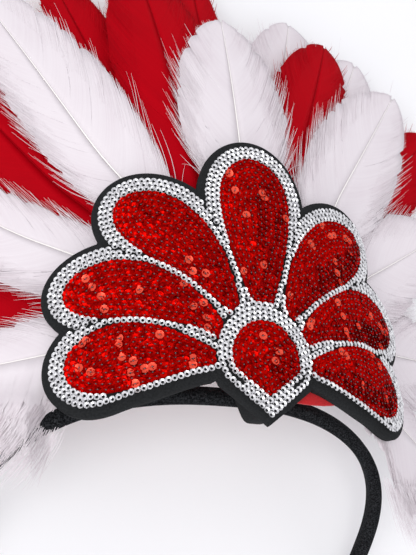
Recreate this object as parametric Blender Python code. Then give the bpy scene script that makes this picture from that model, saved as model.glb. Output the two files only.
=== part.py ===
"""Feathered headdress: a bent foam palmette crest with sequin fields, on a velvet
covered headband, with white and red feathers fanned out behind it.

The headdress is modelled in its own frame: X to the viewer's right, Y up the crest and
Z out of its face, with the crest's lowest point at the origin. It is then laid on its
back, on the feathers and the two ends of the band, as it lies when it is put down.
Lengths are in metres, angles in degrees.
"""
import math

import bmesh
import bpy
import numpy as np
from mathutils import Matrix, Vector

for old in list(bpy.data.objects):
    bpy.data.objects.remove(old, do_unlink=True)

# Crest: a flat palmette bent round the front of the head
BEND_RADIUS = 0.122            # front face of the foam
BEND_END = 0.070               # arc length from the middle where the bend turns straight
FACET = 0.010                  # width of one flat facet of the bend
FOAM_THICK = 0.0035
FELT_THICK = 0.0012
FIELD_THICK = 0.0012           # sequinned cloth of a petal
BORDER_THICK = 0.0014          # two rows of cup sequins
GAP = 0.0003                   # clearance between pieces that are glued together
PETAL_HUB = (0.0, 0.030)       # the point that the palmette spreads from
BORDER_WIDE = 0.0062           # two rows of silver sequins
BORDER_LOW = 0.0029            # one row, along the lowest edge
FOAM_MARGIN = 0.0032           # bare foam outside the silver border
LOW_BLEND = (0.55, 0.90)       # shares of a low petal where one row turns into two

# Petals: base (u, v), tip (u, v), half width at the base, widest half width,
# bow of the axis, and the share of the length at which the petal is widest
PETALS = {
    "center": ((0.0, 0.0475), (0.0, 0.1133), 0.0050, 0.0154, 0.0, 0.70),
    "upper": ((0.0118, 0.0436), (0.0556, 0.0912), 0.0030, 0.0139, 0.0046, 0.70),
    "middle": ((0.0178, 0.0342), (0.0782, 0.0530), 0.0038, 0.0125, 0.0070, 0.70),
    "lower": ((0.0207, 0.0233), (0.0772, 0.0203), 0.0032, 0.0133, 0.0032, 0.66),
}
PETAL_STEPS = 14               # points along one side of a petal

# Drop in the middle: crown, widest part, corner and lower tip
DROP_TOP = 0.0396
DROP_HALF = 0.0140
DROP_WIDEST_V = 0.0240
DROP_CORNER_V = 0.0200
DROP_TIP_V = 0.0092
RING_WIDE = 0.0064             # silver rows round the drop
TIP_MARGIN = 0.0016            # bare foam below the lowest sequin

# Felt patch that closes the back of the crest
FELT_CENTER = (0.0150, 0.0480)
FELT_HALF = (0.0480, 0.0368)

# Spacer block that holds the crest's tip off the band
SPACER_HALF = 0.0115
SPACER_LOW_V = 0.0010
SPACER_HIGH_V = 0.0190
SPACER_TAPER = 0.45
SPACER_THICK = 0.0090

# Headband: a covered strip bent to a horseshoe
BAND_HALF_WIDTH = 0.0906       # middle line of the strip, at the widest
BAND_FRONT_DEPTH = 0.0735      # from the front to the widest place
BAND_POWER = 2.37              # roundness of the front
BAND_REACH = 0.175             # how far the arms may run back
BAND_CLOSING = 0.10            # how much of its half width an arm comes in again
BAND_FALL = 40.0               # angle between the strip's plane and the crest's normal
BAND_SHIFT = -0.0110
BAND_TURN = 0.8
BAND_TALL = 0.0076
BAND_THICK = 0.0060
BAND_FRONT_V = 0.0147
BAND_FRONT_Z = -0.0204
BAND_STEPS = 44
BAND_SIDES = 10

# Feathers: thickness, the quill's ridge, and the depth of the layers behind the crest
FEATHER_THICK = 0.0010
QUILL_RAISE = 0.0004
LAYER_STEP = 0.0029

# Sheet that the feathers lie on: the crest's bend up to an oval edge, then straight on,
# levelling out above the crest and keeping its slope at the sides
SHEET_CENTER_V = 0.048
SHEET_EDGE = (0.094, 0.078)    # half axes of the oval, across and up
SHEET_LEVEL = 0.012            # distance over which the slope settles beyond the edge
SHEET_TURN = (50.0, 95.0)      # angles from straight up between which the slope comes back
SWEEP_START_V = 0.115          # above this the feathers curve back
SWEEP_RADIUS = 0.550

# Feathers: the roots sit side by side on an arc glued to the back of the felt patch
ROOT_CENTER = (0.0, 0.048)
ROOT_RADIUS = 0.026
ROOT_SPAN = 118.0              # angle of the first and last root from straight up
ROOT_HALF = 0.0014
ROOT_RUN = 0.0060              # length of the flat root
LOCKS = 9                      # locks along each side of a feather
LOCK_ROOT = 0.74               # share of the barb at which a lock starts to part
BARB_LEAN = 0.80               # how far the barbs slant towards the tip
WIDEST_AT = 0.60               # share of the length at which a feather is widest
ROUNDNESS = 0.55

# Feathers in the order of their roots, from the left round to the right:
# colour, tip (u, v), width, layer from the front
FEATHERS = {
    "white_feather_1": ("white", (-0.126, 0.026), 0.042, 0),
    "red_feather_1": ("red", (-0.1590, 0.052), 0.040, 3),
    "white_feather_2": ("white", (-0.140, 0.108), 0.052, 1),
    "red_feather_2": ("red", (-0.132, 0.158), 0.048, 2),
    "white_feather_3": ("white", (-0.120, 0.198), 0.054, 0),
    "red_feather_3": ("red", (-0.085, 0.222), 0.050, 3),
    "red_feather_4": ("red", (-0.044, 0.234), 0.052, 1),
    "red_feather_5": ("red", (-0.014, 0.238), 0.046, 2),
    "white_feather_4": ("white", (-0.004, 0.200), 0.054, 0),
    "white_feather_5": ("white", (0.044, 0.226), 0.050, 4),
    "red_feather_6": ("red", (0.058, 0.207), 0.050, 1),
    "white_feather_6": ("white", (0.082, 0.209), 0.048, 3),
    "white_feather_7": ("white", (0.098, 0.186), 0.056, 0),
    "red_feather_7": ("red", (0.126, 0.174), 0.048, 2),
    "white_feather_8": ("white", (0.134, 0.120), 0.052, 1),
    "white_feather_9": ("white", (0.159, 0.063), 0.048, 3),
    "white_feather_10": ("white", (0.120, 0.004), 0.044, 0),
}

# Lying: how far the headdress leans back on its feathers
LIE_TILT = 12.0


def new_material(name, color, roughness, metallic=0.0):
    """A plain Principled material with the piece's colour."""
    mat = bpy.data.materials.new(name)
    mat.use_nodes = True
    shader = mat.node_tree.nodes["Principled BSDF"]
    shader.inputs["Base Color"].default_value = (*color, 1.0)
    shader.inputs["Roughness"].default_value = roughness
    shader.inputs["Metallic"].default_value = metallic
    return mat


FOAM = new_material("charcoal_foam", (0.03, 0.03, 0.032), 0.85)
FELT = new_material("red_felt", (0.45, 0.005, 0.01), 0.9)
FIELD = new_material("red_sequin_cloth", (0.5, 0.003, 0.004), 0.35)
SILVER = new_material("silver_sequins", (0.85, 0.85, 0.87), 0.2, 0.9)
VELVET = new_material("black_velvet", (0.008, 0.008, 0.01), 1.0)
FEATHER_MATERIALS = {
    "white": new_material("white_feather", (0.86, 0.82, 0.85), 0.7),
    "red": new_material("red_feather", (0.42, 0.0, 0.012), 0.7),
}


def bend_profile():
    """Corners of the facetted bend: arc length, point and outward direction.

    The corners lie on a circle up to BEND_END. Beyond it the plate runs straight on.
    """
    count = math.ceil(BEND_END / FACET)
    arc = np.arange(-count, count + 1) * (BEND_END / count)
    angle = arc / BEND_RADIUS
    point = np.stack([np.sin(angle), np.cos(angle) - 1.0], axis=1) * BEND_RADIUS
    out = np.stack([np.sin(angle), np.cos(angle)], axis=1)
    reach = 0.3
    onward = np.stack([np.cos(angle), -np.sin(angle)], axis=1) * reach
    first = point[0] - onward[0]
    last = point[-1] + onward[-1]
    arc = np.concatenate([[arc[0] - reach], arc, [arc[-1] + reach]])
    point = np.concatenate([[first], point, [last]])
    out = np.concatenate([out[:1], out, out[-1:]])
    return arc, point, out


BEND_ARC, BEND_POINT, BEND_OUT = bend_profile()


def bend(u, v, t):
    """Carry flat coordinates onto the bent crest: u across, v up, t out of its face."""
    u, v, t = (np.asarray(part, dtype=float) for part in (u, v, t))
    x = np.interp(u, BEND_ARC, BEND_POINT[:, 0]) + t * np.interp(u, BEND_ARC, BEND_OUT[:, 0])
    z = np.interp(u, BEND_ARC, BEND_POINT[:, 1]) + t * np.interp(u, BEND_ARC, BEND_OUT[:, 1])
    return np.stack(np.broadcast_arrays(x, v, z), axis=-1)


def grown(outline, amount):
    """Move each point of a closed outline outwards along its normal."""
    along = np.roll(outline, -1, axis=0) - np.roll(outline, 1, axis=0)
    normal = np.stack([along[:, 1], -along[:, 0]], axis=1)
    normal /= np.linalg.norm(normal, axis=1)[:, None]
    inside = np.sum((outline - outline.mean(axis=0)) * normal, axis=1).mean() < 0.0
    return outline + (-normal if inside else normal) * np.asarray(amount)[..., None]


def petal_outline(petal, amount=0.0, low_amount=None):
    """A petal grown by amount: narrow base, sine flank, elliptic end, bowed axis.

    Along its lower side a petal may grow by low_amount instead, up to its round end.
    """
    base, tip, base_half, half, bow, widest = petal
    axis = np.array(tip) - np.array(base)
    length = np.linalg.norm(axis)
    axis /= length
    side = np.array([-axis[1], axis[0]])
    q = np.linspace(0.0, 1.0, PETAL_STEPS)
    flank = q[q < 0.5] * 2.0 * widest
    cap = widest + (1.0 - widest) * np.sin((q[q >= 0.5] - 0.5) * math.pi)
    share = np.concatenate([flank, cap])
    rise = base_half + (half - base_half) * np.sin(np.clip(share / widest, 0, 1) * math.pi / 2) ** 1.15
    over = np.clip((share - widest) / (1.0 - widest), 0.0, 1.0)
    width = np.where(share < widest, rise, half * np.sqrt(1.0 - over ** 2))
    middle = np.array(base) + axis * (share * length)[:, None]
    middle = middle + side * (bow * np.sin(math.pi * share ** 0.8))[:, None]
    upper = middle + side * width[:, None]
    lower = middle - side * width[:, None]
    outline = np.concatenate([upper, lower[-2::-1]])
    growth = np.full(len(outline), float(amount))
    if low_amount is not None:
        start, end = LOW_BLEND
        blend = np.clip((share[-2::-1] - start) / (end - start), 0.0, 1.0)
        blend = blend * blend * (3.0 - 2.0 * blend)
        growth[len(upper):] = low_amount + (amount - low_amount) * blend
    if not np.any(growth):
        return outline
    return grown(outline, growth)


def drop_outline(amount=0.0, tip_v=DROP_TIP_V):
    """The middle drop grown by amount: an elliptic crown over two straight legs."""
    angle = np.linspace(0.0, math.pi / 2, PETAL_STEPS)
    half = DROP_HALF + amount
    crown = np.stack([half * np.sin(angle),
                      DROP_WIDEST_V + (DROP_TOP + amount - DROP_WIDEST_V) * np.cos(angle)], axis=1)
    corner = np.array([[DROP_HALF + 0.55 * amount, DROP_CORNER_V - 0.7 * amount]])
    right = np.concatenate([crown, corner, [[0.0, tip_v]]])
    left = right[-2:0:-1] * np.array([-1.0, 1.0])
    return np.concatenate([right, left])


def mirrored(outline):
    """The same outline on the other side of the crest's middle line."""
    return (outline * np.array([-1.0, 1.0]))[::-1]


def joined_outline(outlines, count):
    """Outer boundary of several outlines, as the farthest hit of rays from the hub."""
    hub = np.array(PETAL_HUB)
    rays = np.linspace(-math.pi / 2, 1.5 * math.pi, count, endpoint=False)
    reach = np.zeros(count)
    for outline in outlines:
        start = outline - hub
        end = np.roll(start, -1, axis=0)
        for index, angle in enumerate(rays):
            ray = np.array([math.cos(angle), math.sin(angle)])
            before = start[:, 0] * ray[1] - start[:, 1] * ray[0]
            after = end[:, 0] * ray[1] - end[:, 1] * ray[0]
            hit = (before * after <= 0.0) & (before != after)
            share = before[hit] / (before[hit] - after[hit])
            crossing = start[hit] + (end[hit] - start[hit]) * share[:, None]
            reach[index] = max(reach[index], np.max(crossing @ ray, initial=0.0))
    return hub + np.stack([np.cos(rays), np.sin(rays)], axis=1) * reach[:, None]


def palmette_outline(amount, low_amount, ring_amount, tip_v, count):
    """Outer boundary of the seven petals and the drop, grown all round."""
    parts = [petal_outline(PETALS["center"], amount), drop_outline(ring_amount, tip_v)]
    for name in ("upper", "middle", "lower"):
        low = low_amount if name == "lower" else None
        right = petal_outline(PETALS[name], amount, low)
        parts += [right, mirrored(right)]
    return joined_outline(parts, count)


def petal_places():
    """Node name and plain outline of each petal, from the lower left to the lower right."""
    order = ["lower", "middle", "upper", "center", "upper", "middle", "lower"]
    for index, name in enumerate(order):
        outline = petal_outline(PETALS[name])
        yield f"petal_field_{index + 1}", mirrored(outline) if index < 3 else outline


def add_object(name, bm, material, smooth=False):
    """Turn a bmesh into a named object with one material."""
    mesh = bpy.data.meshes.new(name)
    bm.to_mesh(mesh)
    bm.free()
    mesh.materials.append(material)
    if smooth:
        mesh.shade_smooth()
        mesh.set_sharp_from_angle(angle=math.radians(35))
    obj = bpy.data.objects.new(name, mesh)
    bpy.context.scene.collection.objects.link(obj)
    return obj


def bent_plate(name, outline, holes, back, front, material):
    """Cut a plate to an outline with holes, from depth back to front, and bend it."""
    bm = bmesh.new()
    edges = []
    for loop in [outline, *holes]:
        verts = [bm.verts.new((u, v, back)) for u, v in loop]
        edges += [bm.edges.new((a, b)) for a, b in zip(verts, verts[1:] + verts[:1])]
    filled = bmesh.ops.triangle_fill(bm, edges=edges, use_beauty=True, use_dissolve=False)
    faces = [item for item in filled["geom"] if isinstance(item, bmesh.types.BMFace)]
    raised = bmesh.ops.extrude_face_region(bm, geom=faces, use_keep_orig=True)
    top = [item for item in raised["geom"] if isinstance(item, bmesh.types.BMVert)]
    bmesh.ops.translate(bm, verts=top, vec=(0.0, 0.0, front - back))
    for arc in BEND_ARC[1:-1]:
        geom = bm.verts[:] + bm.edges[:] + bm.faces[:]
        bmesh.ops.bisect_plane(bm, geom=geom, dist=1e-7, plane_co=(arc, 0, 0), plane_no=(1, 0, 0))
    bmesh.ops.recalc_face_normals(bm, faces=bm.faces)
    for vert in bm.verts:
        vert.co = Vector(bend(vert.co.x, vert.co.y, vert.co.z))
    return add_object(name, bm, material)


def make_crest():
    """Foam palmette, its silver border, the petal fields and the felt patch behind."""
    border_back = GAP
    tip_v = DROP_TIP_V - 1.45 * RING_WIDE
    foam_outline = palmette_outline(BORDER_WIDE + FOAM_MARGIN, BORDER_LOW + FOAM_MARGIN,
                                    RING_WIDE + FOAM_MARGIN, tip_v - TIP_MARGIN, 120)
    bent_plate("crest_base", foam_outline, [], -FOAM_THICK, 0.0, FOAM)
    fields = list(petal_places())
    holes = [grown(outline, GAP) for _, outline in fields] + [grown(drop_outline(), GAP)]
    border = palmette_outline(BORDER_WIDE, BORDER_LOW, RING_WIDE, tip_v, 120)
    bent_plate("silver_border", border, holes, border_back, border_back + BORDER_THICK, SILVER)
    for name, outline in fields:
        bent_plate(name, outline, [], border_back, border_back + FIELD_THICK, FIELD)
    bent_plate("drop_field", drop_outline(), [], border_back, border_back + FIELD_THICK, FIELD)
    turn = np.linspace(0.0, 2.0 * math.pi, 40, endpoint=False)
    felt = np.array(FELT_CENTER) + np.stack([np.cos(turn), np.sin(turn)], axis=1) * np.array(FELT_HALF)
    felt_front = -FOAM_THICK - GAP
    bent_plate("felt_backing", felt, [], felt_front - FELT_THICK, felt_front, FELT)


def band_point(share):
    """Middle line of the headband at share -1 to 1: superellipse front, closing arms.

    Returns the point in the crest's frame, before the fall of the strip's plane.
    """
    quarter = 0.62
    turn = np.clip(np.abs(share) / quarter, 0.0, 1.0) * math.pi / 2
    run = np.clip((np.abs(share) - quarter) / (1.0 - quarter), 0.0, 1.0)
    across = BAND_HALF_WIDTH * np.sin(turn) ** (2.0 / BAND_POWER)
    across = across * (1.0 - BAND_CLOSING * run ** 2)
    depth = BAND_FRONT_DEPTH * (1.0 - np.cos(turn) ** (2.0 / BAND_POWER))
    depth = depth + (BAND_REACH - BAND_FRONT_DEPTH) * run
    return np.stack([np.sign(share) * across, -depth], axis=-1)


def band_frame(share, end_low, end_high):
    """Point, direction, height direction and thickness direction along the band."""
    share = np.where(share < 0, share * end_low, share * end_high)
    small = 1e-4
    flat = band_point(share)
    ahead = band_point(np.clip(share + small, -1.0, 1.0)) - band_point(np.clip(share - small, -1.0, 1.0))
    turn = math.radians(BAND_TURN)
    yaw = np.array([[math.cos(turn), -math.sin(turn)], [math.sin(turn), math.cos(turn)]])
    fall = math.radians(BAND_FALL)
    back_y, back_z = math.sin(fall), math.cos(fall)
    spread = []
    for pair in (flat, ahead):
        turned = pair @ yaw.T
        spread.append(np.stack([turned[:, 0], turned[:, 1] * back_y, turned[:, 1] * back_z], axis=1))
    point, along = spread
    point = point + np.array([BAND_SHIFT, BAND_FRONT_V, BAND_FRONT_Z])
    along = along / np.linalg.norm(along, axis=1)[:, None]
    tall = np.broadcast_to(np.array([0.0, back_z, -back_y]), along.shape)
    thick = np.cross(along, tall)
    return point, along, tall, thick


def band_section():
    """Rounded section of the covered strip: a superellipse, taller than thick."""
    turn = np.linspace(0.0, 2.0 * math.pi, BAND_SIDES, endpoint=False) + math.pi / BAND_SIDES
    power = 2.0 / 3.0
    tall = np.sign(np.cos(turn)) * np.abs(np.cos(turn)) ** power * BAND_TALL / 2
    thick = np.sign(np.sin(turn)) * np.abs(np.sin(turn)) ** power * BAND_THICK / 2
    return tall, thick


def lowest_height(points):
    """Least height of points above the surface that the headdress lies on."""
    tilt = math.radians(LIE_TILT)
    return float(np.min(points[..., 2] * math.cos(tilt) - points[..., 1] * math.sin(tilt)))


def arm_end(side, floor):
    """Share of the full arm at which one arm of the band meets the surface."""
    tall, thick = band_section()
    low, high = 0.7, 1.0
    for _ in range(40):
        middle = 0.5 * (low + high)
        ends = (middle, 1.0) if side < 0 else (1.0, middle)
        point, _, up, out = band_frame(np.array([float(side)]), *ends)
        rim = point + up * tall[:, None] + out * thick[:, None]
        if lowest_height(rim) > floor:
            low = middle
        else:
            high = middle
    return low


def make_band(floor):
    """Sweep the strip's section along the horseshoe and close its two flat ends."""
    ends = arm_end(-1, floor), arm_end(1, floor)
    share = np.linspace(-1.0, 1.0, BAND_STEPS + 1)
    point, _, up, out = band_frame(share, *ends)
    tall, thick = band_section()
    rings = point[:, None] + up[:, None] * tall[None, :, None] + out[:, None] * thick[None, :, None]
    bm = bmesh.new()
    verts = [[bm.verts.new(corner) for corner in ring] for ring in rings]
    for ring, after in zip(verts, verts[1:]):
        for index in range(BAND_SIDES):
            beside = (index + 1) % BAND_SIDES
            bm.faces.new((ring[index], ring[beside], after[beside], after[index]))
    bm.faces.new(verts[0][::-1])
    bm.faces.new(verts[-1])
    bmesh.ops.recalc_face_normals(bm, faces=bm.faces)
    add_object("headband", bm, VELVET, smooth=True)
    return rings


def make_spacer():
    """Foam block between the crest's tip and the band, narrower at its lower end."""
    front = -FOAM_THICK - FELT_THICK - 2 * GAP
    back = front - SPACER_THICK
    half_low = SPACER_HALF * SPACER_TAPER
    outline = np.array([(-half_low, SPACER_LOW_V), (half_low, SPACER_LOW_V),
                        (SPACER_HALF, SPACER_HIGH_V), (-SPACER_HALF, SPACER_HIGH_V)])
    bent_plate("tip_spacer", outline, [], back, front, FOAM)


def feather_sheet(u, v, depth):
    """Place on the sheet that the feathers lie on, depth behind the crest's face.

    Inside the oval edge it is the crest's bend. Beyond it the slope at the edge is
    carried on by a share that is 1 at the sides and 0 above the crest.
    """
    rise = v - SHEET_CENTER_V
    reach = math.hypot(u, rise)
    across, up = u / reach, rise / reach
    edge = 1.0 / math.hypot(across / SHEET_EDGE[0], up / SHEET_EDGE[1])
    inside = min(reach, edge)
    beyond = reach - inside
    x, _, z = bend(inside * across, v, 0.0)
    slope = np.clip(inside * abs(across), 0.0, BEND_END) / BEND_RADIUS
    heading = math.degrees(abs(math.atan2(across, up)))
    share = np.clip((heading - SHEET_TURN[0]) / (SHEET_TURN[1] - SHEET_TURN[0]), 0.0, 1.0)
    kept = slope * share * share * (3.0 - 2.0 * share)
    settled = SHEET_LEVEL * (1.0 - math.exp(-beyond / SHEET_LEVEL))
    x += beyond * across * math.cos(kept)
    z -= abs(across) * (beyond * math.sin(kept) + (math.sin(slope) - math.sin(kept)) * settled)
    z -= max(v - SWEEP_START_V, 0.0) ** 2 / (2.0 * SWEEP_RADIUS)
    return np.array([x, v, z - depth])


def feather_half(share, width):
    """Half width of a feather's vane at a share of its length."""
    power = math.log(0.5) / math.log(WIDEST_AT)
    return 0.5 * width * np.sin(math.pi * np.clip(share, 0.0, 1.0) ** power) ** ROUNDNESS


def feather_surface(root, tip, width, root_depth, depth):
    """Upper surface of one feather: a root, a quill line and locks along both edges.

    The vane's outline is fixed first. Each barb runs from the outline back to the
    quill, and a lock is what lies between two such barbs. Neighbouring locks share
    their barb up to LOCK_ROOT and then part, each to a blunt end on the outline.
    """
    along = np.array(tip) - np.array(root)
    length = np.linalg.norm(along)
    along /= length
    across = np.array([along[1], -along[0]])
    points, faces = [], []

    def add(run, off, raised=0.0):
        place = np.array(root) + along * run + across * off
        sink = root_depth + (depth - root_depth) * np.clip((run - ROOT_RUN) / (1.6 * ROOT_RUN), 0.0, 1.0)
        points.append(feather_sheet(place[0], place[1], sink - raised))
        return len(points) - 1

    def face(ring, sign):
        faces.append(ring if sign < 0 else ring[::-1])

    first = (2.6 * ROOT_RUN + 0.002) / length
    rows = np.linspace(first + 0.08, 0.985, LOCKS + 1)
    feet = length * rows - BARB_LEAN * feather_half(rows, width)
    feet = np.maximum(feet, 2.6 * ROOT_RUN + 0.003 * np.arange(LOCKS + 1))
    stem = [0.0, ROOT_RUN, 2.6 * ROOT_RUN]
    quill = [add(run, 0.0, QUILL_RAISE) for run in [*stem, *feet]]
    end = add(length, 0.0)
    for sign in (-1.0, 1.0):
        half = feather_half(rows, width)
        inner = [add(foot + LOCK_ROOT * (length * row - foot), sign * LOCK_ROOT * part)
                 for foot, row, part in zip(feet, rows, half)]
        joined = [add(run, sign * ROOT_HALF) for run in stem] + inner
        for index in range(len(joined) - 1):
            face([quill[index], joined[index], joined[index + 1], quill[index + 1]], sign)
        for index in range(LOCKS):
            ends = rows[index] + (rows[index + 1] - rows[index]) * np.array([0.30, 0.74])
            low_end, high_end = [add(length * share, sign * feather_half(share, width)) for share in ends]
            face([inner[index], low_end, high_end, inner[index + 1]], sign)
        face([quill[-1], inner[-1], end], sign)
    return points, faces


def make_feather(name, row, share):
    """One feather: its surface given a thickness, with the quill as a low ridge."""
    color, tip, width, layer = row
    turn = math.radians(ROOT_SPAN * (2.0 * share - 1.0))
    root = np.array(ROOT_CENTER) + ROOT_RADIUS * np.array([math.sin(turn), math.cos(turn)])
    root_depth = FOAM_THICK + FELT_THICK + 2.0 * GAP + QUILL_RAISE + GAP
    depth = root_depth + layer * LAYER_STEP
    points, faces = feather_surface(root, tip, width, root_depth, depth)
    bm = bmesh.new()
    verts = [bm.verts.new(point) for point in points]
    for face in faces:
        bm.faces.new([verts[index] for index in face])
    bmesh.ops.recalc_face_normals(bm, faces=bm.faces)
    if sum(face.normal.z * face.calc_area() for face in bm.faces) < 0.0:
        bmesh.ops.reverse_faces(bm, faces=bm.faces)
    obj = add_object(name, bm, FEATHER_MATERIALS[color])
    wall = obj.modifiers.new("thickness", "SOLIDIFY")
    wall.thickness = FEATHER_THICK
    wall.offset = -1.0
    return np.array(points)


def lay_down():
    """Tip every piece back by LIE_TILT and stand the whole on the surface, centred."""
    pieces = [obj for obj in bpy.data.objects if obj.type == "MESH"]
    carrier = bpy.data.objects.new("lying", None)
    bpy.context.scene.collection.objects.link(carrier)
    tip = Matrix.Rotation(-math.radians(LIE_TILT), 4, "X")
    depsgraph = bpy.context.evaluated_depsgraph_get()
    corners = []
    for obj in pieces:
        mesh = obj.evaluated_get(depsgraph).to_mesh()
        corners += [tip @ vert.co for vert in mesh.vertices]
        obj.evaluated_get(depsgraph).to_mesh_clear()
        obj.parent = carrier
    low = Vector([min(corner[axis] for corner in corners) for axis in range(3)])
    high = Vector([max(corner[axis] for corner in corners) for axis in range(3)])
    middle = (low + high) / 2
    carrier.matrix_world = Matrix.Translation((-middle.x, -middle.y, -low.z)) @ tip


make_crest()
make_spacer()
shares = np.linspace(0.0, 1.0, len(FEATHERS))
feather_points = [make_feather(name, row, share) for (name, row), share in zip(FEATHERS.items(), shares)]
make_band(min(lowest_height(points) for points in feather_points) - 0.8 * FEATHER_THICK)
lay_down()
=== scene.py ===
"""Feathered headdress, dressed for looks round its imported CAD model.

Lengths are in metres. A place on the headdress is worked out in the crest's own frame
(u across the crest, v up it, t out of its face) and is then laid on its back with the
rest. Outlines, the bend, the band's path and the feathers' sheet repeat the part's
named values.
"""
import math

import bpy
import numpy as np
from mathutils import Matrix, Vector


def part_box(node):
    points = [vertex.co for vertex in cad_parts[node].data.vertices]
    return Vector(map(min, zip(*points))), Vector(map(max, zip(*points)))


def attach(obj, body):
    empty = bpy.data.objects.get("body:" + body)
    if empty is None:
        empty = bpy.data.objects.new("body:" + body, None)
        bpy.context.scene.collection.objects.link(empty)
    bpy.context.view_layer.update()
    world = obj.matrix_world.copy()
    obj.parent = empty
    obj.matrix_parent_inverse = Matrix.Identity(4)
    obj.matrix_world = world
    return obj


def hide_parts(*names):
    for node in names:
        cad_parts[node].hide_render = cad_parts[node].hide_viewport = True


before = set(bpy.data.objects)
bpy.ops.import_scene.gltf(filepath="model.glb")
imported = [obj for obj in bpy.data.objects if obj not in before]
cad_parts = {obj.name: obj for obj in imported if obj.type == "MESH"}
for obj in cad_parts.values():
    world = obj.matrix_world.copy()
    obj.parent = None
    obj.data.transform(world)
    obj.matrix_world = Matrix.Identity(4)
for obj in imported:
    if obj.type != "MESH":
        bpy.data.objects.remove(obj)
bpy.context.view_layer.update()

# Crest base: a palmette cut from 3.5 mm charcoal craft foam with a sharp blade and bent
# round the front of the head. Its cut edge is slightly rounded and shows as a dark rim
# outside the silver sequins.
BEND_RADIUS = 0.122
BEND_END = 0.070
FOAM_THICK = 0.0035
GAP = 0.0003
HUB = np.array([0.0, 0.030])
BORDER_WIDE = 0.0062
BORDER_LOW = 0.0029
FOAM_MARGIN = 0.0032
LOW_BLEND = (0.55, 0.90)
RING_WIDE = 0.0064
TIP_MARGIN = 0.0016
FOAM_ROUND = 0.0005
LIE_TILT = math.radians(12.0)

# base, tip, half width at the base, widest half width, bow of the axis, widest at
PETALS = {
    "center": ((0.0, 0.0475), (0.0, 0.1133), 0.0050, 0.0154, 0.0, 0.70),
    "upper": ((0.0118, 0.0436), (0.0556, 0.0912), 0.0030, 0.0139, 0.0046, 0.70),
    "middle": ((0.0178, 0.0342), (0.0782, 0.0530), 0.0038, 0.0125, 0.0070, 0.70),
    "lower": ((0.0207, 0.0233), (0.0772, 0.0203), 0.0032, 0.0133, 0.0032, 0.66),
}
DROP_TOP = 0.0396
DROP_HALF = 0.0140
DROP_WIDEST_V = 0.0240
DROP_CORNER_V = 0.0200
DROP_TIP_V = 0.0092
TIP_STRETCH = 1.45             # a sharp tip moves out this much further than its sides
SILVER_TIP_V = DROP_TIP_V - TIP_STRETCH * RING_WIDE


def bend(u, v, t):
    """Flat to bent: an arc of BEND_RADIUS up to BEND_END, then straight on."""
    u, v, t = np.broadcast_arrays(*(np.asarray(part, dtype=float) for part in (u, v, t)))
    held = np.clip(u, -BEND_END, BEND_END)
    angle = held / BEND_RADIUS
    x = (BEND_RADIUS + t) * np.sin(angle) + (u - held) * np.cos(angle)
    z = (BEND_RADIUS + t) * np.cos(angle) - BEND_RADIUS - (u - held) * np.sin(angle)
    return np.stack([x, v, z], axis=-1)


def tilted(points):
    """Turn points of the crest's frame by LIE_TILT about X, onto the headdress's back."""
    x, y, z = points[..., 0], points[..., 1], points[..., 2]
    low, high = math.sin(LIE_TILT), math.cos(LIE_TILT)
    return np.stack([x, y * high + z * low, z * high - y * low], axis=-1)


def grown(outline, amount):
    """Each point of a closed outline moved outwards along its normal by amount."""
    along = np.roll(outline, -1, axis=0) - np.roll(outline, 1, axis=0)
    normal = np.stack([along[:, 1], -along[:, 0]], axis=1)
    normal /= np.linalg.norm(normal, axis=1)[:, None]
    inside = np.sum((outline - outline.mean(axis=0)) * normal) < 0.0
    return outline + (-normal if inside else normal) * np.asarray(amount)[..., None]


def petal_outline(petal, amount=0.0, low_amount=None, steps=48):
    """Petal edge: sine flank, elliptic end, bowed axis, grown by amount all round."""
    base, tip, base_half, half, bow, widest = petal
    axis = np.array(tip) - np.array(base)
    length = np.linalg.norm(axis)
    axis /= length
    side = np.array([-axis[1], axis[0]])
    q = np.linspace(0.0, 1.0, steps)
    cap = widest + (1.0 - widest) * np.sin((q[q >= 0.5] - 0.5) * math.pi)
    share = np.concatenate([q[q < 0.5] * 2.0 * widest, cap])
    flank = np.sin(np.clip(share / widest, 0.0, 1.0) * math.pi / 2) ** 1.15
    over = np.clip((share - widest) / (1.0 - widest), 0.0, 1.0)
    width = np.where(share < widest, base_half + (half - base_half) * flank,
                     half * np.sqrt(1.0 - over ** 2))
    middle = np.array(base) + axis * (share * length)[:, None]
    middle = middle + side * (bow * np.sin(math.pi * share ** 0.8))[:, None]
    outline = np.concatenate([middle + side * width[:, None],
                              (middle - side * width[:, None])[-2::-1]])
    growth = np.full(len(outline), float(amount))
    if low_amount is not None:
        blend = np.clip((share[-2::-1] - LOW_BLEND[0]) / (LOW_BLEND[1] - LOW_BLEND[0]), 0.0, 1.0)
        blend = blend * blend * (3.0 - 2.0 * blend)
        growth[steps:] = low_amount + (amount - low_amount) * blend
    return grown(outline, growth) if np.any(growth) else outline


def drop_outline(amount=0.0, tip_v=DROP_TIP_V, steps=40):
    """Drop edge: a quarter ellipse to each corner, then straight legs to the tip."""
    angle = np.linspace(0.0, math.pi / 2, steps)
    crown = np.stack([(DROP_HALF + amount) * np.sin(angle),
                      DROP_WIDEST_V + (DROP_TOP + amount - DROP_WIDEST_V) * np.cos(angle)], axis=1)
    corner = np.array([[DROP_HALF + 0.55 * amount, DROP_CORNER_V - 0.7 * amount]])
    right = np.concatenate([crown, corner, [[0.0, tip_v]]])
    return np.concatenate([right, right[-2:0:-1] * np.array([-1.0, 1.0])])


def mirrored(outline):
    """The same outline on the other side of the crest's middle line."""
    return (outline * np.array([-1.0, 1.0]))[::-1]


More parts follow.
